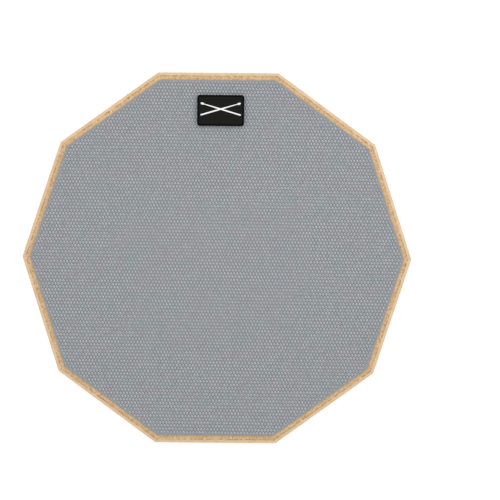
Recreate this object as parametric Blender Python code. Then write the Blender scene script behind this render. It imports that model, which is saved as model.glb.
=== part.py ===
"""Double-sided drum practice pad, 12-inch class, built as a bonded ten-sided stack.

Units are metres. The origin is under the middle of the pad, on the plane it rests on.
+Z comes up out of the grey playing face, +Y points from the middle towards the badge,
and +X runs from corner to corner. From the bottom up the stack is: foam sheet, adhesive
film, fibreboard core, adhesive film, rubber sheet, then the badge on its own film.
"""
import math

import bmesh
import bpy

# Driving dimensions of the ten-sided stack
SIDES = 10
PAD_ACROSS_FLATS = 0.3048  # 12 inches: both playing sheets
BOARD_RIM_WIDTH = 0.0035  # bare flat board between a sheet's edge and the chamfer
BOARD_CHAMFER = 0.0029  # 45 degree chamfer round both faces of the board
BOARD_THICKNESS = 0.012
RUBBER_THICKNESS = 0.002
FOAM_THICKNESS = 0.005
FILM_THICKNESS = 0.0003
FILM_INSET = 0.0015  # the films stop short of the sheets' cut edges
RUBBER_EDGE_RADIUS = 0.0008
FOAM_EDGE_RADIUS = 0.0010
GAP = 0.0003  # clearance between pieces that touch

# Driving dimensions of the badge
BADGE_WIDTH = 0.0401
BADGE_HEIGHT = 0.0265
BADGE_CORNER_RADIUS = 0.0023
BADGE_RIM_WIDTH = 0.0013
BADGE_RIM_SLOPE = 0.0003  # the rim's inner wall leans by this much
BADGE_RIM_EASE = 0.0003  # small bevel round the badge's outer top edge
BADGE_FIELD_THICKNESS = 0.0010
BADGE_RIM_THICKNESS = 0.0016
BADGE_CENTRE = (0.0023, 0.1261)
BADGE_FILM_INSET = 0.0020

# Driving dimensions of the emblem: two crossed sticks
EMBLEM_WIDTH = 0.0345
EMBLEM_HEIGHT = 0.0130
EMBLEM_OFFSET_Y = 0.0012  # it sits a little above the badge's middle
EMBLEM_THICKNESS = 0.0004
STICK_BUTT_WIDTH = 0.0013
STICK_NECK_WIDTH = 0.0008
STICK_TIP_WIDTH = 0.0019
STICK_TIP_LENGTH = 0.0034
STICK_TAPER_START = 0.55  # share of the stick's length before it tapers

ARC_STEPS = 6
SHARP_ANGLE = math.radians(32)  # edges that turn more than this stay crisp

# Heights of the stack, bottom up
FOAM_TOP = FOAM_THICKNESS
REAR_FILM_BOTTOM = FOAM_TOP + GAP
REAR_FILM_TOP = REAR_FILM_BOTTOM + FILM_THICKNESS
BOARD_BOTTOM = REAR_FILM_TOP + GAP
BOARD_TOP = BOARD_BOTTOM + BOARD_THICKNESS
FRONT_FILM_BOTTOM = BOARD_TOP + GAP
FRONT_FILM_TOP = FRONT_FILM_BOTTOM + FILM_THICKNESS
RUBBER_BOTTOM = FRONT_FILM_TOP + GAP
RUBBER_TOP = RUBBER_BOTTOM + RUBBER_THICKNESS
BADGE_FILM_BOTTOM = RUBBER_TOP + GAP
BADGE_FILM_TOP = BADGE_FILM_BOTTOM + FILM_THICKNESS
BADGE_BOTTOM = BADGE_FILM_TOP + GAP
BADGE_FIELD_TOP = BADGE_BOTTOM + BADGE_FIELD_THICKNESS
BADGE_RIM_TOP = BADGE_BOTTOM + BADGE_RIM_THICKNESS
EMBLEM_BOTTOM = BADGE_FIELD_TOP + GAP

# Half widths across the flats
PAD_APOTHEM = PAD_ACROSS_FLATS / 2
BOARD_FACE_APOTHEM = PAD_APOTHEM + BOARD_RIM_WIDTH
BOARD_APOTHEM = BOARD_FACE_APOTHEM + BOARD_CHAMFER

# Materials: linear base colour, roughness, metallic
MATERIALS = {
    "grey_rubber": ((0.305, 0.325, 0.345), 0.62, 0.0),
    "fibreboard": ((0.630, 0.418, 0.230), 0.78, 0.0),
    "black_foam": ((0.018, 0.018, 0.019), 0.92, 0.0),
    "black_pvc": ((0.012, 0.012, 0.012), 0.48, 0.0),
    "white_pvc": ((0.870, 0.870, 0.860), 0.45, 0.0),
    "adhesive_film": ((0.600, 0.560, 0.450), 0.55, 0.0),
}


def clear_scene():
    """Remove whatever the scene holds before the pad is built."""
    for existing in list(bpy.data.objects):
        bpy.data.objects.remove(existing, do_unlink=True)


def make_material(name):
    """Principled material with the named finish."""
    colour, roughness, metallic = MATERIALS[name]
    material = bpy.data.materials.new(name)
    material.use_nodes = True
    shader = material.node_tree.nodes["Principled BSDF"]
    shader.inputs["Base Color"].default_value = (*colour, 1.0)
    shader.inputs["Roughness"].default_value = roughness
    shader.inputs["Metallic"].default_value = metallic
    return material


def add_object(name, mesh_builder, material_name):
    """Put a finished bmesh into the scene as one named piece."""
    bmesh.ops.recalc_face_normals(mesh_builder, faces=mesh_builder.faces)
    mesh = bpy.data.meshes.new(name)
    mesh_builder.to_mesh(mesh)
    mesh_builder.free()
    mesh.shade_smooth()
    mesh.set_sharp_from_angle(angle=SHARP_ANGLE)
    mesh.materials.append(make_material(material_name))
    piece = bpy.data.objects.new(name, mesh)
    bpy.context.scene.collection.objects.link(piece)
    return piece


def loft(name, rings, material_name):
    """Closed solid through equal-length rings of (x, y, z), capped at both ends."""
    builder = bmesh.new()
    loops = [[builder.verts.new(point) for point in ring] for ring in rings]
    count = len(loops[0])
    for lower, upper in zip(loops, loops[1:]):
        for index in range(count):
            following = (index + 1) % count
            builder.faces.new((lower[index], lower[following], upper[following], upper[index]))
    builder.faces.new(loops[0])
    builder.faces.new(loops[-1])
    return add_object(name, builder, material_name)


def decagon_ring(apothem, height):
    """Ten corners at one height, the first of them on +X."""
    radius = apothem / math.cos(math.pi / SIDES)
    angles = [2 * math.pi * index / SIDES for index in range(SIDES)]
    return [(radius * math.cos(angle), radius * math.sin(angle), height) for angle in angles]


def eased_edge(apothem, face_height, radius, wall_side):
    """(apothem, height) pairs of a rounded edge, from the wall to the flat face.

    wall_side is -1 where the wall hangs below the face and +1 where it stands above it.
    """
    pairs = []
    for step in range(ARC_STEPS + 1):
        angle = math.pi / 2 * step / ARC_STEPS
        setback = radius * (1 - math.cos(angle))
        height = face_height + wall_side * radius * (1 - math.sin(angle))
        pairs.append((apothem - setback, height))
    return pairs


def ten_sided_piece(name, sections, material_name):
    """Ten-sided solid through (apothem, height) sections, bottom to top."""
    rings = [decagon_ring(apothem, height) for apothem, height in sections]
    return loft(name, rings, material_name)


def build_rear_foam_pad():
    """Foam sheet under the board, eased round the edge it rests on."""
    sections = list(reversed(eased_edge(PAD_APOTHEM, 0.0, FOAM_EDGE_RADIUS, 1)))
    sections.append((PAD_APOTHEM, FOAM_TOP))
    return ten_sided_piece("rear_foam_pad", sections, "black_foam")


def build_board_core():
    """Fibreboard with a chamfer round each face and a flat land between them."""
    sections = [
        (BOARD_FACE_APOTHEM, BOARD_BOTTOM),
        (BOARD_APOTHEM, BOARD_BOTTOM + BOARD_CHAMFER),
        (BOARD_APOTHEM, BOARD_TOP - BOARD_CHAMFER),
        (BOARD_FACE_APOTHEM, BOARD_TOP),
    ]
    return ten_sided_piece("board_core", sections, "fibreboard")


def build_front_rubber_pad():
    """Rubber sheet on the board, eased round its upper edge."""
    sections = [(PAD_APOTHEM, RUBBER_BOTTOM)]
    sections += eased_edge(PAD_APOTHEM, RUBBER_TOP, RUBBER_EDGE_RADIUS, -1)
    return ten_sided_piece("front_rubber_pad", sections, "grey_rubber")


def build_adhesive_film(name, bottom, top):
    """Ten-sided adhesive film between the board and a sheet."""
    apothem = PAD_APOTHEM - FILM_INSET
    return ten_sided_piece(name, [(apothem, bottom), (apothem, top)], "adhesive_film")


def rounded_rectangle_ring(inset, height):
    """The badge's outline, moved inwards by inset, at one height."""
    half_width = BADGE_WIDTH / 2 - inset
    half_height = BADGE_HEIGHT / 2 - inset
    radius = max(BADGE_CORNER_RADIUS - inset, BADGE_RIM_SLOPE)
    corners = [(1, 1), (-1, 1), (-1, -1), (1, -1)]
    ring = []
    for quadrant, (side_x, side_y) in enumerate(corners):
        for step in range(ARC_STEPS + 1):
            angle = math.pi / 2 * (quadrant + step / ARC_STEPS)
            x = side_x * (half_width - radius) + radius * math.cos(angle)
            y = side_y * (half_height - radius) + radius * math.sin(angle)
            ring.append((BADGE_CENTRE[0] + x, BADGE_CENTRE[1] + y, height))
    return ring


def build_badge_plate():
    """Black badge whose rim stands up round a lower field."""
    rings = [
        rounded_rectangle_ring(0.0, BADGE_BOTTOM),
        rounded_rectangle_ring(0.0, BADGE_RIM_TOP - BADGE_RIM_EASE),
        rounded_rectangle_ring(BADGE_RIM_EASE, BADGE_RIM_TOP),
        rounded_rectangle_ring(BADGE_RIM_WIDTH - BADGE_RIM_SLOPE, BADGE_RIM_TOP),
        rounded_rectangle_ring(BADGE_RIM_WIDTH, BADGE_FIELD_TOP),
    ]
    return loft("badge_plate", rings, "black_pvc")


def build_badge_adhesive():
    """Adhesive film between the badge and the rubber."""
    rings = [
        rounded_rectangle_ring(BADGE_FILM_INSET, BADGE_FILM_BOTTOM),
        rounded_rectangle_ring(BADGE_FILM_INSET, BADGE_FILM_TOP),
    ]
    return loft("badge_adhesive", rings, "adhesive_film")


def stick_outline(length):
    """Flat outline of one stick along X: even shaft, tapered neck and oval tip."""
    butt = -length / 2
    taper = butt + STICK_TAPER_START * length
    tip_centre = (length - STICK_TIP_LENGTH) / 2
    neck_angle = math.pi - math.asin(STICK_NECK_WIDTH / STICK_TIP_WIDTH)
    upper_side = [(butt, STICK_BUTT_WIDTH / 2), (taper, STICK_BUTT_WIDTH / 2)]
    tip_steps = 2 * ARC_STEPS
    for step in range(tip_steps):
        angle = neck_angle * (1 - step / tip_steps)
        x = tip_centre + STICK_TIP_LENGTH / 2 * math.cos(angle)
        upper_side.append((x, STICK_TIP_WIDTH / 2 * math.sin(angle)))
    lower_side = [(x, -y) for x, y in reversed(upper_side)]
    return upper_side + [(length / 2, 0.0)] + lower_side


def build_stick(name, angle):
    """One stick of the emblem, laid across the badge at an angle."""
    stick_length = math.hypot(EMBLEM_WIDTH, EMBLEM_HEIGHT - STICK_TIP_WIDTH)
    outline = stick_outline(stick_length)
    centre_x = BADGE_CENTRE[0]
    centre_y = BADGE_CENTRE[1] + EMBLEM_OFFSET_Y
    rings = []
    for height in (EMBLEM_BOTTOM, EMBLEM_BOTTOM + EMBLEM_THICKNESS):
        ring = []
        for x, y in outline:
            turned_x = x * math.cos(angle) - y * math.sin(angle)
            turned_y = x * math.sin(angle) + y * math.cos(angle)
            ring.append((centre_x + turned_x, centre_y + turned_y, height))
        rings.append(ring)
    return loft(name, rings, "white_pvc")


def build_badge_emblem():
    """Two crossed sticks joined into one raised shape."""
    angle = math.atan2(EMBLEM_HEIGHT - STICK_TIP_WIDTH, EMBLEM_WIDTH)
    emblem = build_stick("badge_emblem", angle)
    second_stick = build_stick("emblem_second_stick", math.pi - angle)
    second_stick.hide_render = True
    second_stick.display_type = "WIRE"
    union = emblem.modifiers.new("crossed_sticks", "BOOLEAN")
    union.operation = "UNION"
    union.solver = "EXACT"
    union.object = second_stick
    return emblem


def build_pad():
    """Build every piece of the pad, bottom up."""
    clear_scene()
    build_rear_foam_pad()
    build_adhesive_film("rear_adhesive", REAR_FILM_BOTTOM, REAR_FILM_TOP)
    build_board_core()
    build_adhesive_film("front_adhesive", FRONT_FILM_BOTTOM, FRONT_FILM_TOP)
    build_front_rubber_pad()
    build_badge_adhesive()
    build_badge_plate()
    build_badge_emblem()


build_pad()
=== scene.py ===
"""Looks of the ten-sided drum practice pad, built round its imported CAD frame.

Everything is in metres in the CAD's own frame: the pad lies on the floor with its grey
playing face up, +Y towards the badge and +X from corner to corner. Every visible piece
is a detailed mesh that stands for one CAD node and keeps that node's place and size.
"""
import math

import bmesh
import bpy
import numpy as np
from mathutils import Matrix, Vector, noise


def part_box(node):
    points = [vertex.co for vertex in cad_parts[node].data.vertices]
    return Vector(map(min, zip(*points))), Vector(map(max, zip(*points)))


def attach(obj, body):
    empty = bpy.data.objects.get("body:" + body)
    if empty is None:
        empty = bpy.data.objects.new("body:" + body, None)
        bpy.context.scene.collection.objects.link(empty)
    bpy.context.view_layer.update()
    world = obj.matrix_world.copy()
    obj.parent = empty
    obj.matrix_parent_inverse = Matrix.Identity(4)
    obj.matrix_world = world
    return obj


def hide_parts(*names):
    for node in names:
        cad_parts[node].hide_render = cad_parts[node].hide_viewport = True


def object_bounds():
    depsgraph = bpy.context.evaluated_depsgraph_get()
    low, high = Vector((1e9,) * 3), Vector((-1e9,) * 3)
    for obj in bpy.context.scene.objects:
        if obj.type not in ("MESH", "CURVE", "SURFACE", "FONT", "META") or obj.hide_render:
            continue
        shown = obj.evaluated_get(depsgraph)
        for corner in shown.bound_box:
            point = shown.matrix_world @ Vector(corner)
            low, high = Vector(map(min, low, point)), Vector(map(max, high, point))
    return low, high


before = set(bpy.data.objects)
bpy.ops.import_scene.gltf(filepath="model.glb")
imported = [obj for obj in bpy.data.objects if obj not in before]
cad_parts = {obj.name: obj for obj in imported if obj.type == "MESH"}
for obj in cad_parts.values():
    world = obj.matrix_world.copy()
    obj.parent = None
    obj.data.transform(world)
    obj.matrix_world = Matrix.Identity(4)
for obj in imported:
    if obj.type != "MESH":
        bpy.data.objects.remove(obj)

CAD_LOW, CAD_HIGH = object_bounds()
MM = 0.001

# Levels and half widths across the flats, read from the CAD nodes
SIDES = 10
FOAM_LOW, FOAM_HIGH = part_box("rear_foam_pad")
BOARD_LOW, BOARD_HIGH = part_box("board_core")
RUBBER_LOW, RUBBER_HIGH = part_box("front_rubber_pad")
BADGE_LOW, BADGE_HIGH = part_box("badge_plate")
EMBLEM_LOW, EMBLEM_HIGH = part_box("badge_emblem")
PAD_APOTHEM = RUBBER_HIGH.y
BOARD_APOTHEM = BOARD_HIGH.y

# Board edge
CHAMFER = 2.9 * MM
ARRIS_EASE = 0.25 * MM  # how far each sawn corner of the board's section is rubbed down
CORNER_RADIUS = 0.6 * MM  # easing of the ten upright corners
BOARD_STEP = 1.2 * MM  # spacing of vertices along the board's edge
TEAR_DEPTH = 0.08 * MM  # how deep the cutter tears fibres out of the edge
TEAR_SCALE = 450.0  # tears a metre

# Embossed grain of the playing face: tall diamonds in staggered rows
GRAIN_PITCH = 2.73 * MM
GRAIN_ROW = 2.73 * MM
GRAIN_TURN = math.radians(-0.5)
GRAIN_DEPTH = 0.21 * MM
GRAIN_SEED = 12
BUMP_FOOT = (1.18 * MM, 1.78 * MM)
BUMP_CROWN = (0.66 * MM, 1.00 * MM)
BUMP_UNEVENNESS = 0.03 * MM  # how far a corner of a crown can lie below the highest
BUMP_LEAN = 0.05 * MM  # how far a crown can sit off the middle of its foot
MARGIN_PALENESS = 0.22  # from 0, the grey of the grooves with their dirt and painted shade, to 1, the palest grey of the painted highlights
CROWN_PALENESS = 0.22
SLOPE_PAINTED_HIGHLIGHT = (0.20, 0.36, 0.86, 0.50)  # painted highlight of each slope: lower left, lower right, upper right, upper left, palest where the light falls from the upper right
PALENESS_SPREAD = 0.35  # share by which a slope's painted highlight can differ from the same slope of other bumps
MARGIN_DROP = 0.12 * MM  # the plain margin lies this far below the bumps
MARGIN_FADE = (0.25 * MM, 1.3 * MM)  # the grain grows to full height between these
RUBBER_ROUND = 0.8 * MM  # radius that the die leaves round the cut edge
ROUND_STEPS = 5
RUBBER_WALL = ((0.12 * MM, 0.45), (0.02 * MM, 0.08), (0.12 * MM, 0.0))  # set in, share of height
CUT_TOLERANCE = 1e-7

# Foam back
FOAM_ROUND = 0.9 * MM
FOAM_ROUND_STEPS = 6
FOAM_CORNER = 1.2 * MM
FOAM_STEP = 2.0 * MM  # spacing of vertices along the foam's edge
FOAM_DRAWN_IN = 0.35 * MM  # how far the middle of the cut edge is drawn in

# Adhesive films
GLUE_CLEARANCE = 0.03 * MM
GLUE_SETBACK = 0.45 * MM
GLUE_BULGE = 0.12 * MM
GLUE_WANDER = 0.22 * MM
GLUE_WANDER_LIMIT = 0.2 * MM
GLUE_WANDER_SCALE = 130.0
GLUE_CORNER = 0.8 * MM
GLUE_STEP = 1.5 * MM
TAPE_INSET = 0.5 * MM
TAPE_CLEARANCES = (0.01 * MM, 0.02 * MM)  # over the rubber and under the badge

# Badge
BADGE_CORNER = 2.3 * MM
BADGE_RIM = 1.3 * MM
BADGE_FIELD_DROP = 0.6 * MM  # the field lies this far below the rim's top
BADGE_OUTER_ROUND = 0.4 * MM
BADGE_INNER_ROUND = 0.25 * MM
BADGE_ROUND_STEPS = 5
BADGE_FOOT_BEVEL = (0.25 * MM, 0.2 * MM)  # across and up

# Emblem: half widths of the crossed drumsticks
STICK_BUTT = 0.62 * MM
STICK_NECK = 0.38 * MM
STICK_TIP = (1.65 * MM, 0.92 * MM)  # half length and half width of the oval tip
TIP_STEPS = 12
TIP_LAST_ANGLE = 0.12  # stops just short of the point
STICK_SECTION_STEPS = 10
STICK_SQUARENESS = 0.6  # 1 is a round section, and less is flatter on top

# Rubber's look
# grey of the grooves: their dirt and painted shade
GROOVE_DIRT_AND_SHADE_GREY = (0.156, 0.168, 0.180)
# colour of the brightest painted highlight on the slopes
PAINTED_HIGHLIGHT_GREY = (0.655, 0.683, 0.711)
WARM_TINT = (0.50, 0.30, 0.42)
COOL_TINT = (0.22, 0.42, 0.41)
TINT_SHARE = 0.07
TINT_SCALE = 80.0  # features a metre, as are the other scales
DUST_SCALE = 1900.0
RUBBER_ROUGHNESS = (0.25, 0.35)  # from the cleanest to the dustiest
GROOVE_DULLING = 0.25  # roughness that the grooves have beyond that
RUBBER_RELIEF_SCALE = 2600.0
RUBBER_RELIEF = 0.012 * MM

# Board's look
PRESSED_TANS = ((0.825, 0.565, 0.305), (0.890, 0.630, 0.370))
PRESSED_GRIT = (0.580, 0.365, 0.175)
CUT_TANS = ((0.720, 0.510, 0.320), (0.800, 0.605, 0.415))
CUT_FELT = (0.630, 0.420, 0.240)
CUTTER_MARK = (0.600, 0.390, 0.220)
SPECK_BROWN = (0.300, 0.150, 0.055)
PALE_FIBRE = (0.93, 0.76, 0.53)
SCORCH_BROWN = (0.290, 0.165, 0.070)
FELT_SCALE = 1100.0
FELT_RELIEF = 0.12 * MM
GRIT_SCALE = 620.0
BLOTCH_SCALE = 140.0
SPECK_SCALE = 470.0
FIBRE_SCALE = 760.0
CUTTER_SCALE = 420.0
SCORCH_SCALE = 420.0

# Camera over the playing face
CAMERA_HEIGHT = 2.4
CAMERA_OFFSET = (28.4 * MM, 6.9 * MM)
CAMERA_ROLL = math.radians(0.48)
VIEW_WIDTH = 428.2 * MM  # what the view spans at the playing face
SENSOR_WIDTH = 36.0
CAMERA_REACH = 20.0

# Stage
FLOOR_HALF = 8.0
FLOOR_GAP = 0.05 * MM
FLOOR_GREY = 0.62
FLOOR_GLOW = 0.55
SURROUNDINGS_STRENGTH = 0.95
BOX_SIZE = 0.2
LEFT_BOX = (-0.54, 0.38, 0.57)
LEFT_POWER = 0.4
RIGHT_BOX = (0.58, 0.40, 0.57)
RIGHT_POWER = 0.8


# ---------------------------------------------------------------- shader nodes

def add_node(tree, kind, inputs=None, **settings):
    """New shader node. Inputs are given by socket name or number, as a value or a link."""
    made = tree.nodes.new(kind)
    for name, value in settings.items():
        setattr(made, name, value)
    for socket, value in (inputs or {}).items():
        if isinstance(value, bpy.types.NodeSocket):
            tree.links.new(value, made.inputs[socket])
        else:
            made.inputs[socket].default_value = value
    return made


def new_material(name, roughness, specular=0.5):
    """Principled material with its tree, its shader and the piece's own coordinates."""
    material = bpy.data.materials.new(name)
    material.use_nodes = True
    tree = material.node_tree
    shader = tree.nodes["Principled BSDF"]
    shader.inputs["Roughness"].default_value = roughness
    shader.inputs["Specular IOR Level"].default_value = specular
    place = add_node(tree, "ShaderNodeTexCoord").outputs["Object"]
    return material, tree, shader, place


def stretched(tree, place, scale):
    """Coordinates multiplied by a scale for each axis."""
    return add_node(tree, "ShaderNodeMapping", {"Vector": place, "Scale": scale}).outputs[0]


def noise_value(tree, place, scale, detail=2.0, roughness=0.5):
    """Soft noise from 0 to 1, with scale features a metre."""
    sockets = {"Vector": place, "Scale": scale, "Detail": detail, "Roughness": roughness}
    return add_node(tree, "ShaderNodeTexNoise", sockets).outputs[0]


def cells(tree, place, scale):
    """Distance from the nearest of scattered points, in cells, and that cell's own random value."""
    scattered = add_node(tree, "ShaderNodeTexVoronoi", {"Vector": place, "Scale": scale})
    chance = add_node(tree, "ShaderNodeSeparateColor", {0: scattered.outputs["Color"]})
    return scattered.outputs["Distance"], chance.outputs[0]


def ranged(tree, value, low, high, to_low=0.0, to_high=1.0):
    """Value taken from low..high to to_low..to_high, and held there outside it."""
    sockets = {0: value, 1: low, 2: high, 3: to_low, 4: to_high}
    return add_node(tree, "ShaderNodeMapRange", sockets).outputs[0]


def painted(tree, name):
    """Value that the mesh carries under a name, at its vertices or at its faces' corners."""
    return add_node(tree, "ShaderNodeAttribute", attribute_name=name).outputs["Fac"]


def height_of(tree, place):
    """Height of the point being shaded."""
    return add_node(tree, "ShaderNodeSeparateXYZ", {0: place}).outputs[2]


def mixed(tree, share, first, second):
    """Colour between first and second, each of them a colour or a link."""
    ends = [end if isinstance(end, bpy.types.NodeSocket) else (*end, 1.0) for end in (first, second)]
    sockets = {0: share, 6: ends[0], 7: ends[1]}
    return add_node(tree, "ShaderNodeMix", sockets, data_type="RGBA").outputs[2]


def combined(tree, operation, first, second=0.0):
    """Math node on one or two values."""
    return add_node(tree, "ShaderNodeMath", {0: first, 1: second}, operation=operation).outputs[0]


def bumped(tree, shader, height, distance):
    """Relief of the given depth in metres on the shader."""
    relief = add_node(tree, "ShaderNodeBump", {"Height": height, "Distance": distance})
    tree.links.new(relief.outputs[0], shader.inputs["Normal"])


def coloured(tree, shader, colour):
    """Drive the shader's base colour."""
    tree.links.new(colour, shader.inputs["Base Color"])


def rubber_material():
    """Grey rubber: dull, darker in the grooves from dirt and painted shade, with painted highlights
    on the slopes, faintly two-toned.
    """
    material, tree, shader, place = new_material("grey_rubber", 0.35, 0.5)
    # pale carries painted light: low in the grooves for their dirt and painted shade, high on the
    # slopes for painted highlights
    pale = painted(tree, "pale")
    ground = mixed(tree, pale, GROOVE_DIRT_AND_SHADE_GREY, PAINTED_HIGHLIGHT_GREY)
    tint = noise_value(tree, place, TINT_SCALE, 4.0, 0.6)
    warm = mixed(tree, TINT_SHARE, ground, WARM_TINT)
    cool = mixed(tree, TINT_SHARE, ground, COOL_TINT)
    coloured(tree, shader, mixed(tree, ranged(tree, tint, 0.38, 0.62), warm, cool))
    dust = noise_value(tree, place, DUST_SCALE, 3.0, 0.7)
    dulled = ranged(tree, pale, 0.05, 0.15, GROOVE_DULLING, 0.0)
    dusty = ranged(tree, dust, 0.3, 0.7, *RUBBER_ROUGHNESS)
    roughness = combined(tree, "ADD", dusty, dulled)
    tree.links.new(roughness, shader.inputs["Roughness"])
    bumped(tree, shader, noise_value(tree, place, RUBBER_RELIEF_SCALE, 4.0, 0.6), RUBBER_RELIEF)
    return material


def board_material():
    """Fibreboard: orange-tan pressed faces with dark specks, paler and woollier where cut."""
    material, tree, shader, place = new_material("fibreboard", 0.8, 0.2)
    machined = painted(tree, "machined")
    arris = painted(tree, "arris")
    layered = stretched(tree, place, (1.0, 1.0, 2.5))
    felt = noise_value(tree, layered, FELT_SCALE, 4.0, 0.7)
    grit = noise_value(tree, layered, GRIT_SCALE, 2.0, 0.6)
    blotch = noise_value(tree, layered, BLOTCH_SCALE, 2.0)
    patch = ranged(tree, blotch, 0.35, 0.65)
    pressed = mixed(tree, patch, *PRESSED_TANS)
    pressed = mixed(tree, ranged(tree, grit, 0.35, 0.65, 0.0, 0.75), pressed, PRESSED_GRIT)
    cut = mixed(tree, patch, *CUT_TANS)
    cut = mixed(tree, ranged(tree, felt, 0.3, 0.7, 0.0, 0.40), cut, CUT_FELT)
    cutter_marks = noise_value(tree, stretched(tree, place, (1.0, 1.0, 0.1)), CUTTER_SCALE, 2.0)
    cut = mixed(tree, ranged(tree, cutter_marks, 0.40, 0.70, 0.0, 0.35), cut, CUTTER_MARK)
    ground = mixed(tree, machined, pressed, cut)
    distance, chance = cells(tree, layered, SPECK_SCALE)
    dot = ranged(tree, distance, 0.12, 0.38, 0.85, 0.0)
    speck = combined(tree, "MULTIPLY", dot, ranged(tree, chance, 0.40, 0.85))
    fainter = ranged(tree, machined, 0.0, 1.0, 1.0, 0.35)
    speck = combined(tree, "MULTIPLY", speck, fainter)
    specked = mixed(tree, speck, ground, SPECK_BROWN)
    pale_distance, _ = cells(tree, stretched(tree, place, (1.0, 1.0, 3.0)), FIBRE_SCALE)
    fibre = ranged(tree, pale_distance, 0.10, 0.24, 0.4, 0.0)
    fibred = mixed(tree, fibre, specked, PALE_FIBRE)
    broken = ranged(tree, noise_value(tree, place, SCORCH_SCALE, 2.0), 0.38, 0.62, 0.15, 0.95)
    scorch = combined(tree, "MULTIPLY", arris, broken)
    coloured(tree, shader, mixed(tree, scorch, fibred, SCORCH_BROWN))
    bumped(tree, shader, felt, FELT_RELIEF)
    return material


def foam_material():
    """Black closed-cell foam: very dull, finely pitted, with painted shade darkening the pits."""
    material, tree, shader, place = new_material("black_foam", 0.9, 0.25)
    distance, _ = cells(tree, place, 1500.0)
    haze = noise_value(tree, place, 60.0, 3.0)
    ground = mixed(tree, ranged(tree, haze, 0.3, 0.7), (0.016, 0.016, 0.017), (0.028, 0.028, 0.029))
    # painted shade in the pits, darkest at their middles
    pit = ranged(tree, distance, 0.05, 0.30, 0.7, 0.0)
    coloured(tree, shader, mixed(tree, pit, ground, (0.006, 0.006, 0.006)))
    bumped(tree, shader, distance, 0.15 * MM)
    return material


def badge_material():
    """Black soft PVC: a jet-black rim, and a finely grained field a shade greyer."""
    material, tree, shader, place = new_material("black_pvc", 0.50, 0.04)
    top = BADGE_HIGH.z
    rim = ranged(tree, height_of(tree, place), top - 0.5 * MM, top - 0.3 * MM)
    grain = noise_value(tree, place, 3500.0, 3.0, 0.6)
    grained = ranged(tree, grain, 0.3, 0.7)
    field = mixed(tree, grained, (0.0100, 0.0100, 0.0095), (0.0135, 0.0135, 0.0126))
    coloured(tree, shader, mixed(tree, rim, field, (0.0006, 0.0006, 0.0008)))
    bumped(tree, shader, grain, 0.02 * MM)
    return material


def emblem_material():
    """White soft PVC, slightly uneven where it was poured."""
    material, tree, shader, place = new_material("white_pvc", 0.4, 0.5)
    pour = noise_value(tree, place, 900.0, 3.0)
    white = mixed(tree, ranged(tree, pour, 0.3, 0.7), (0.93, 0.93, 0.925), (0.99, 0.99, 0.985))
    coloured(tree, shader, white)
    bumped(tree, shader, pour, 0.03 * MM)
    return material


def glue_material(name, dark, light):
    """Cured adhesive: smooth, with cloudy patches."""
    material, tree, shader, place = new_material(name, 0.35, 0.5)
    cloud = noise_value(tree, place, 420.0, 3.0)
    coloured(tree, shader, mixed(tree, ranged(tree, cloud, 0.3, 0.7), dark, light))
    bumped(tree, shader, cloud, 0.1 * MM)
    return material


# ---------------------------------------------------------------- mesh helpers

def finish_piece(name, builder, material, node, smooth_angle=35.0):
    """Make the piece from a bmesh, and have it stand for its CAD node."""
    bmesh.ops.recalc_face_normals(builder, faces=builder.faces)
    mesh = bpy.data.meshes.new(name)
    builder.to_mesh(mesh)
    builder.free()
    mesh.shade_smooth()
    mesh.set_sharp_from_angle(angle=math.radians(smooth_angle))
    mesh.materials.append(material)
    piece = bpy.data.objects.new(name, mesh)
    bpy.context.scene.collection.objects.link(piece)
    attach(piece, "root")
    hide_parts(node)
    return piece


def bridge_rings(builder, rings):
    """Skin equal-length rings of points with quads, and close both ends."""
    loops = [[builder.verts.new(point) for point in ring] for ring in rings]
    count = len(loops[0])
    for lower, upper in zip(loops, loops[1:]):
        for index in range(count):
            following = (index + 1) % count
            builder.faces.new((lower[index], lower[following], upper[following], upper[index]))
    builder.faces.new(loops[0])
    builder.faces.new(loops[-1])
    return loops


def side_normal(side):
    """Outward direction of one of the ten sides."""
    angle = math.radians(180 / SIDES + 360 / SIDES * side)
    return Vector((math.cos(angle), math.sin(angle), 0.0))


def decagon_outline(apothem, corner_radius, step, corner_steps=3):
    """Closed ten-sided outline with eased corners, as (x, y) points spaced by step."""
    half_turn = math.pi / SIDES
    corner = apothem / math.cos(half_turn)
    centre = corner - corner_radius / math.cos(half_turn)
    half_flat = (apothem - corner_radius) * math.tan(half_turn)
    flat_count = max(2, round(2 * half_flat / step))
    outline = []
    for side in range(SIDES):
        corner_angle = 2 * half_turn * side
        middle = (centre * math.cos(corner_angle), centre * math.sin(corner_angle))
        for index in range(corner_steps + 1):
            angle = corner_angle + half_turn * (2 * index / corner_steps - 1)
            x = middle[0] + corner_radius * math.cos(angle)
            y = middle[1] + corner_radius * math.sin(angle)
            outline.append((x, y))
        normal = side_normal(side)
        for index in range(1, flat_count):
            along = half_flat * (2 * index / flat_count - 1)
            x = normal.x * apothem - normal.y * along
            y = normal.y * apothem + normal.x * along
            outline.append((x, y))
    return outline


def scaled_rings(outline, apothem, sections):
    """The outline of a given apothem repeated at each (apothem, height) section."""
    rings = []
    for section_apothem, height in sections:
        share = section_apothem / apothem
        rings.append([(x * share, y * share, height) for x, y in outline])
    return rings


def quarter_round(steps):
    """(sine, 1 - cosine) pairs round a quarter circle, the straight start left out."""
    angles = [math.pi / 2 * step / steps for step in range(1, steps + 1)]
    return [(math.sin(angle), 1 - math.cos(angle)) for angle in angles]


def wander_at(point, scale):
    """Steady noise from -1 to 1 at a point, with scale features a metre."""
    return noise.noise(Vector(point) * scale)


# ---------------------------------------------------------------- playing face

def edge_distance(points, apothem):
    """How far each (x, y) point lies inside a decagon; negative outside it."""
    normals = np.array([side_normal(side)[:2] for side in range(SIDES)])
    return apothem - (points @ normals.T).max(axis=-1)


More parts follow.
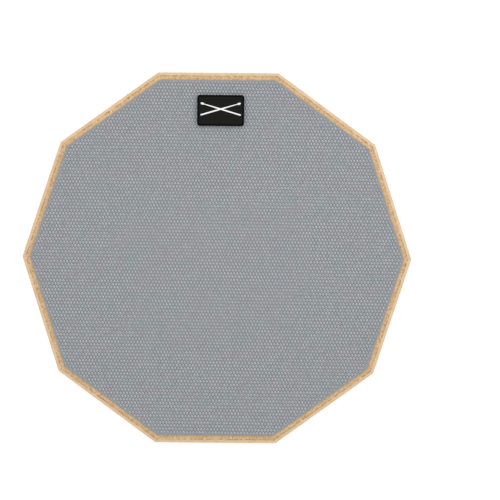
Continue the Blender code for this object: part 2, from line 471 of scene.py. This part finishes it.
def grain_lattice(reach):
    """Vertices and faces of the embossed grain, over more than the pad, and their paleness, which is
    painted light: dirt and painted shade in the grooves, painted highlights on the slopes.

    Each cell is one bump: a diamond foot in the groove and a smaller diamond crown above
    it, with four slopes between them. Three more faces of each cell are the groove between
    it and its neighbours. The paleness is that of each corner of each face.
    """
    crown_z = RUBBER_HIGH.z
    groove_z = crown_z - GRAIN_DEPTH
    cell = []
    for (half_width, half_height), z in ((BUMP_FOOT, groove_z), (BUMP_CROWN, crown_z)):
        cell += [(-half_width, 0.0, z), (0.0, -half_height, z)]
        cell += [(half_width, 0.0, z), (0.0, half_height, z)]
    left, low, right, top, crown = 0, 1, 2, 3, 4
    rows = math.ceil(reach / GRAIN_ROW) + 2
    columns = math.ceil(reach / GRAIN_PITCH) + rows // 2 + 2
    column, row = np.meshgrid(np.arange(-columns, columns), np.arange(-rows, rows), indexing="ij")
    centres = np.stack([(column + row / 2) * GRAIN_PITCH, row * GRAIN_ROW, 0.0 * row], axis=-1)
    points = centres[:, :, None, :] + np.array(cell)
    chance = np.random.default_rng(GRAIN_SEED)
    points[:, :, crown:, :2] += chance.uniform(-BUMP_LEAN, BUMP_LEAN, column.shape + (1, 2))
    points[:, :, crown:, 2] -= chance.uniform(0.0, BUMP_UNEVENNESS, column.shape + (4,))
    cos_turn = math.cos(GRAIN_TURN)
    sin_turn = math.sin(GRAIN_TURN)
    turned_x = points[..., 0] * cos_turn - points[..., 1] * sin_turn
    turned_y = points[..., 0] * sin_turn + points[..., 1] * cos_turn
    vertices = np.stack([turned_x, turned_y, points[..., 2]], axis=-1)

    per_row = 2 * rows * len(cell)
    inner_columns = np.arange(1, 2 * columns - 1)
    inner_rows = np.arange(1, 2 * rows - 1)
    origin = (inner_columns[:, None] * per_row + inner_rows[None, :] * len(cell)).ravel()

    def corner(part, columns_over=0, rows_up=0):
        return origin + columns_over * per_row + rows_up * len(cell) + part

    corners = (left, low, right, top)
    quads = [[corner(crown + part) for part in corners]]
    for start, end in zip(corners, corners[1:] + corners[:1]):
        quads.append([corner(start), corner(end), corner(crown + end), corner(crown + start)])
    quads.append([corner(right), corner(low, 0, 1), corner(left, 0, 1), corner(top)])
    quads.append([corner(top), corner(right, -1, 1), corner(low, -1, 1), corner(left)])
    quads.append([corner(right), corner(top, 1, -1), corner(left, 1, 0), corner(low, 0, 1)])
    faces = np.stack([np.stack(quad, axis=1) for quad in quads])
    # the grooves keep 0, the darkest, for their dirt and painted shade
    pale = np.zeros(faces.shape)
    pale[0] = CROWN_PALENESS
    # the slopes get painted highlights, palest on the upper right, differing at random from bump to
    # bump
    spread = 1 + PALENESS_SPREAD * chance.uniform(-1.0, 1.0, (4, len(origin), 1))
    pale[1:5] = np.array(SLOPE_PAINTED_HIGHLIGHT)[:, None, None] * spread
    return vertices.reshape(-1, 3), faces.reshape(-1, 4), pale.reshape(-1, 4)


def calm_margin(vertices, faces, pale, apothem):
    """Let the grain die out into a plain, slightly lower margin round the sheet."""
    start, end = MARGIN_FADE
    grown = np.clip((edge_distance(vertices[:, :2], apothem) - start) / (end - start), 0.0, 1.0)
    margin_z = RUBBER_HIGH.z - MARGIN_DROP
    vertices[:, 2] = margin_z + (vertices[:, 2] - margin_z) * grown
    pale[:] = MARGIN_PALENESS + (pale - MARGIN_PALENESS) * grown[faces]


def grow_edge(builder, apothem, new_apothem, height):
    """Grow the sheet's open edge by one ring, out to a new apothem and height."""
    open_edges = [edge for edge in builder.edges if edge.is_boundary]
    grown = bmesh.ops.extrude_edge_only(builder, edges=open_edges)["geom"]
    for vertex in (item for item in grown if isinstance(item, bmesh.types.BMVert)):
        vertex.co.x *= new_apothem / apothem
        vertex.co.y *= new_apothem / apothem
        vertex.co.z = height
    return new_apothem


def build_playing_face():
    """Embossed rubber sheet, cut to ten sides, with a plain margin and a rounded cut edge."""
    apothem = PAD_APOTHEM - RUBBER_ROUND
    vertices, faces, pale = grain_lattice(PAD_APOTHEM / math.cos(math.pi / SIDES))
    reached = (edge_distance(vertices[:, :2], apothem)[faces] > 0).any(axis=1)
    faces = faces[reached]
    pale = pale[reached]
    calm_margin(vertices, faces, pale, apothem)
    mesh = bpy.data.meshes.new("grain")
    mesh.from_pydata(vertices.tolist(), [], faces.tolist())
    mesh.attributes.new("pale", "FLOAT", "CORNER").data.foreach_set("value", pale.ravel())
    builder = bmesh.new()
    builder.from_mesh(mesh)
    bpy.data.meshes.remove(mesh)
    loose = [vertex for vertex in builder.verts if not vertex.link_faces]
    bmesh.ops.delete(builder, geom=loose, context="VERTS")
    for side in range(SIDES):
        normal = side_normal(side)
        everything = builder.verts[:] + builder.edges[:] + builder.faces[:]
        bmesh.ops.bisect_plane(
            builder, geom=everything, plane_co=normal * apothem, plane_no=normal,
            dist=CUT_TOLERANCE, clear_outer=True,
        )
    margin_z = RUBBER_HIGH.z - MARGIN_DROP
    bottom = RUBBER_LOW.z
    for out, down in quarter_round(ROUND_STEPS):
        target = PAD_APOTHEM - RUBBER_ROUND * (1 - out)
        apothem = grow_edge(builder, apothem, target, margin_z - RUBBER_ROUND * down)
    for set_in, share in RUBBER_WALL:
        height = bottom + (margin_z - RUBBER_ROUND - bottom) * share
        apothem = grow_edge(builder, apothem, PAD_APOTHEM - set_in, height)
    open_edges = [edge for edge in builder.edges if edge.is_boundary]
    bmesh.ops.contextual_create(builder, geom=open_edges)
    return finish_piece(
        "playing_face", builder, rubber_material(), "front_rubber_pad", 20.0
    )


# ---------------------------------------------------------------- board

def board_sections():
    """(apothem, height, machined, arris) round the board's section, top face to bottom.

    machined is 1 on cut surfaces and 0 on pressed faces. arris is 1 on the two worn
    lines where a face meets its chamfer.
    """
    face = BOARD_APOTHEM - CHAMFER
    ease = ARRIS_EASE
    upper = [
        (face - 9 * MM, 0.0, 0.0, 0.0),
        (face - 2 * MM, 0.0, 0.0, 0.0),
        (face - 3 * ease, 0.0, 0.0, 0.25),
        (face - ease, 0.0, 0.0, 0.8),
        (face, 0.3 * ease, 0.3, 1.0),
        (face + 0.7 * ease, ease, 0.8, 0.7),
        (face + 2 * ease, 2.1 * ease, 1.0, 0.0),
        (face + CHAMFER / 2, CHAMFER / 2, 1.0, 0.0),
        (BOARD_APOTHEM - 1.3 * ease, CHAMFER - ease, 1.0, 0.0),
        (BOARD_APOTHEM - 0.4 * ease, CHAMFER, 1.0, 0.25),
        (BOARD_APOTHEM, CHAMFER + 1.2 * ease, 1.0, 0.0),
        (BOARD_APOTHEM, CHAMFER + 1.8 * MM, 1.0, 0.0),
    ]
    top = BOARD_HIGH.z
    bottom = BOARD_LOW.z
    sections = [(apothem, top - drop, cut, worn) for apothem, drop, cut, worn in upper]
    sections.append((BOARD_APOTHEM, (top + bottom) / 2, 1.0, 0.0))
    sections += [(apothem, bottom + drop, cut, worn) for apothem, drop, cut, worn in reversed(upper)]
    return sections


def build_board():
    """Fibreboard core with eased arrises and slightly torn machined edges."""
    builder = bmesh.new()
    machined_layer = builder.verts.layers.float.new("machined")
    arris_layer = builder.verts.layers.float.new("arris")
    sections = board_sections()
    outline = decagon_outline(BOARD_APOTHEM, CORNER_RADIUS, BOARD_STEP)
    rings = scaled_rings(outline, BOARD_APOTHEM, [section[:2] for section in sections])
    loops = bridge_rings(builder, rings)
    for loop, (_, _, machined, arris) in zip(loops, sections):
        for vertex in loop:
            tear = TEAR_DEPTH * max(arris, 0.5 * machined)
            inwards = 1 + tear * min(0.0, wander_at(vertex.co, TEAR_SCALE) - 0.5) / BOARD_APOTHEM
            vertex[machined_layer] = machined
            vertex[arris_layer] = arris
            vertex.co.x *= inwards
            vertex.co.y *= inwards
    return finish_piece("fibreboard_core", builder, board_material(), "board_core")


# ---------------------------------------------------------------- foam back

def build_foam_back():
    """Foam sheet under the board: flat where it rests, its cut edge drawn in a little."""
    thickness = FOAM_HIGH.z - FOAM_LOW.z
    profile = [(PAD_APOTHEM * share, FOAM_LOW.z) for share in (0.35, 0.65, 0.9, 0.97)]
    profile.append((PAD_APOTHEM - FOAM_ROUND, FOAM_LOW.z))
    for out, up in quarter_round(FOAM_ROUND_STEPS):
        profile.append((PAD_APOTHEM - FOAM_ROUND * (1 - out), FOAM_LOW.z + FOAM_ROUND * up))
    for share in (0.35, 0.5, 0.65, 0.8):
        drawn_in = FOAM_DRAWN_IN * math.sin(math.pi * share)
        profile.append((PAD_APOTHEM - drawn_in, FOAM_LOW.z + thickness * share))
    profile.append((PAD_APOTHEM - 0.05 * MM, FOAM_HIGH.z - 0.15 * MM))
    profile.append((PAD_APOTHEM - 0.25 * MM, FOAM_HIGH.z))
    profile.append((PAD_APOTHEM * 0.9, FOAM_HIGH.z))
    outline = decagon_outline(PAD_APOTHEM, FOAM_CORNER, FOAM_STEP, 5)
    builder = bmesh.new()
    bridge_rings(builder, scaled_rings(outline, PAD_APOTHEM, profile))
    piece = finish_piece("foam_back", builder, foam_material(), "rear_foam_pad")
    return piece


# ---------------------------------------------------------------- adhesive films

def build_glue(name, node, below, above):
    """Cured adhesive between two layers, its edge wandering a little inside theirs."""
    outline = decagon_outline(PAD_APOTHEM - GLUE_SETBACK, GLUE_CORNER, GLUE_STEP)
    heights = (below + GLUE_CLEARANCE, (below + above) / 2, above - GLUE_CLEARANCE)
    bulges = (0.0, GLUE_BULGE, 0.0)
    rings = []
    for height, bulge in zip(heights, bulges):
        ring = []
        for x, y in outline:
            wander = GLUE_WANDER * wander_at((x, y, height), GLUE_WANDER_SCALE)
            share = 1 + (bulge + min(wander, GLUE_WANDER_LIMIT)) / PAD_APOTHEM
            ring.append((x * share, y * share, height))
        rings.append(ring)
    builder = bmesh.new()
    bridge_rings(builder, rings)
    material = glue_material(name + "_cured", (0.30, 0.26, 0.18), (0.46, 0.41, 0.30))
    return finish_piece(name, builder, material, node)


def build_badge_tape():
    """Black foam tape between the badge and the bumps of the rubber."""
    under, over = TAPE_CLEARANCES
    heights = (RUBBER_HIGH.z + under, BADGE_LOW.z - over)
    builder = bmesh.new()
    bridge_rings(builder, [badge_ring(TAPE_INSET, height) for height in heights])
    material = glue_material("black_tape", (0.006, 0.006, 0.006), (0.012, 0.012, 0.012))
    return finish_piece("badge_tape", builder, material, "badge_adhesive")


# ---------------------------------------------------------------- badge

def badge_ring(inset, height, corner_steps=8):
    """The badge's rounded outline, moved inwards, at one height."""
    centre = (BADGE_LOW + BADGE_HIGH) / 2
    half_width = (BADGE_HIGH.x - BADGE_LOW.x) / 2 - inset
    half_height = (BADGE_HIGH.y - BADGE_LOW.y) / 2 - inset
    radius = BADGE_CORNER - inset
    ring = []
    for quadrant, (side_x, side_y) in enumerate(((1, 1), (-1, 1), (-1, -1), (1, -1))):
        for step in range(corner_steps + 1):
            angle = math.pi / 2 * (quadrant + step / corner_steps)
            x = centre.x + side_x * (half_width - radius) + radius * math.cos(angle)
            y = centre.y + side_y * (half_height - radius) + radius * math.sin(angle)
            ring.append((x, y, height))
    return ring


def build_badge():
    """Soft-PVC plate with a rounded rim, and a small fillet where it meets the field."""
    top = BADGE_HIGH.z
    field = top - BADGE_FIELD_DROP
    outer = BADGE_OUTER_ROUND
    inner = BADGE_INNER_ROUND
    bevel_across, bevel_up = BADGE_FOOT_BEVEL
    profile = [(bevel_across, BADGE_LOW.z), (0.0, BADGE_LOW.z + bevel_up), (0.0, top - outer)]
    for across, along in quarter_round(BADGE_ROUND_STEPS):
        profile.append((outer * along, top - outer * (1 - across)))
    shoulder = BADGE_RIM - inner
    profile.append((shoulder, top))
    for across, along in quarter_round(BADGE_ROUND_STEPS):
        profile.append((shoulder + inner * across, top - inner * along))
    for across, along in quarter_round(BADGE_ROUND_STEPS):
        profile.append((BADGE_RIM + inner * along, field + inner * (1 - across)))
    builder = bmesh.new()
    bridge_rings(builder, [badge_ring(inset, height) for inset, height in profile])
    return finish_piece("badge_base", builder, badge_material(), "badge_plate", 40.0)


def stick_stations(length):
    """(distance along, half width) down one stick: butt, shaft, taper, neck and oval tip."""
    half_length = length / 2
    tip_length, tip_width = STICK_TIP
    stations = [(-half_length, 0.72 * STICK_BUTT), (-half_length + 0.15 * MM, 0.93 * STICK_BUTT)]
    stations += [(-half_length + 0.4 * MM, STICK_BUTT), (0.05 * length, STICK_BUTT)]
    neck_angle = math.pi - math.asin(STICK_NECK / tip_width)
    for step in range(TIP_STEPS + 1):
        angle = neck_angle + (TIP_LAST_ANGLE - neck_angle) * step / TIP_STEPS
        along = half_length - tip_length + tip_length * math.cos(angle)
        stations.append((along, tip_width * math.sin(angle)))
    return stations


def turned_stick(name, length, angle):
    """One low-relief drumstick across the badge, its section a flattened half round."""
    field = BADGE_HIGH.z - BADGE_FIELD_DROP - 0.01 * MM
    rise = EMBLEM_HIGH.z - field
    centre = (EMBLEM_LOW + EMBLEM_HIGH) / 2
    rings = []
    for along, half_width in stick_stations(length):
        ring = []
        for step in range(STICK_SECTION_STEPS + 1):
            turn = math.pi * step / STICK_SECTION_STEPS
            across = -half_width * math.cos(turn)
            fullness = math.sqrt(half_width / STICK_TIP[1])
            height = field + rise * fullness * math.sin(turn) ** STICK_SQUARENESS
            x = centre.x + along * math.cos(angle) - across * math.sin(angle)
            y = centre.y + along * math.sin(angle) + across * math.cos(angle)
            ring.append((x, y, height))
        rings.append(ring)
    builder = bmesh.new()
    bridge_rings(builder, rings)
    bmesh.ops.recalc_face_normals(builder, faces=builder.faces)
    mesh = bpy.data.meshes.new(name)
    builder.to_mesh(mesh)
    builder.free()
    stick = bpy.data.objects.new(name, mesh)
    bpy.context.scene.collection.objects.link(stick)
    return stick


def build_emblem():
    """Two crossed drumsticks in one raised white shape."""
    width = EMBLEM_HIGH.x - EMBLEM_LOW.x
    rise = EMBLEM_HIGH.y - EMBLEM_LOW.y - 2 * STICK_TIP[1]
    length = math.hypot(width, rise) - 0.5 * MM
    angle = math.atan2(rise, width)
    first = turned_stick("first_stick", length, angle)
    second = turned_stick("second_stick", length, math.pi - angle)
    union = first.modifiers.new("crossed", "BOOLEAN")
    union.operation = "UNION"
    union.solver = "EXACT"
    union.object = second
    evaluated = first.evaluated_get(bpy.context.evaluated_depsgraph_get())
    builder = bmesh.new()
    builder.from_mesh(evaluated.to_mesh())
    for stick in (first, second):
        bpy.data.objects.remove(stick)
    return finish_piece("badge_mark", builder, emblem_material(), "badge_emblem", 50.0)


# ---------------------------------------------------------------- stage

def add_floor():
    """Plain pale floor that the pad lies on."""
    material, _, shader, _ = new_material("pale_floor", 0.8, 0.1)
    shader.inputs["Base Color"].default_value = (FLOOR_GREY, FLOOR_GREY, FLOOR_GREY, 1.0)
    shader.inputs["Emission Color"].default_value = (1.0, 1.0, 1.0, 1.0)
    shader.inputs["Emission Strength"].default_value = FLOOR_GLOW
    mesh = bpy.data.meshes.new("floor")
    corners = [(x * FLOOR_HALF, y * FLOOR_HALF, 0) for x, y in ((-1, -1), (1, -1), (1, 1), (-1, 1))]
    mesh.from_pydata(corners, [], [(0, 1, 2, 3)])
    mesh.materials.append(material)
    floor = bpy.data.objects.new("floor", mesh)
    floor.location.z = CAD_LOW.z - FLOOR_GAP
    bpy.context.scene.collection.objects.link(floor)


def add_area_light(name, location, power):
    """Small square soft box that faces the middle of the pad."""
    light = bpy.data.lights.new(name, "AREA")
    light.size = BOX_SIZE
    light.energy = power
    lamp = bpy.data.objects.new(name, light)
    lamp.location = location
    aim = Vector((0.0, 0.0, RUBBER_HIGH.z)) - Vector(location)
    lamp.rotation_euler = aim.to_track_quat("-Z", "Y").to_euler()
    lamp.visible_camera = False
    bpy.context.scene.collection.objects.link(lamp)


def add_lights():
    """Even white surroundings and a soft box past each top corner, the right one brighter."""
    world = bpy.data.worlds.new("studio")
    bpy.context.scene.world = world
    world.use_nodes = True
    background = world.node_tree.nodes["Background"]
    background.inputs["Color"].default_value = (1.0, 1.0, 1.0, 1.0)
    background.inputs["Strength"].default_value = SURROUNDINGS_STRENGTH
    add_area_light("left_box", LEFT_BOX, LEFT_POWER)
    add_area_light("right_box", RIGHT_BOX, RIGHT_POWER)


def add_camera():
    """Long lens straight above the playing face."""
    camera = bpy.data.cameras.new("camera")
    camera.sensor_width = SENSOR_WIDTH
    camera.lens = SENSOR_WIDTH * CAMERA_HEIGHT / VIEW_WIDTH
    camera.clip_end = CAMERA_REACH
    holder = bpy.data.objects.new("camera", camera)
    holder.location = (*CAMERA_OFFSET, RUBBER_HIGH.z + CAMERA_HEIGHT)
    holder.rotation_euler = (0.0, 0.0, CAMERA_ROLL)
    bpy.context.scene.collection.objects.link(holder)
    bpy.context.scene.camera = holder


def show_true_colours():
    """Plain display transform, so that white stays white."""
    bpy.context.scene.view_settings.view_transform = "Standard"


add_camera()
build_foam_back()
build_glue("rear_glue", "rear_adhesive", FOAM_HIGH.z, BOARD_LOW.z)
build_board()
build_glue("front_glue", "front_adhesive", BOARD_HIGH.z, RUBBER_LOW.z)
build_playing_face()
build_badge_tape()
build_badge()
build_emblem()
add_floor()
add_lights()
show_true_colours()
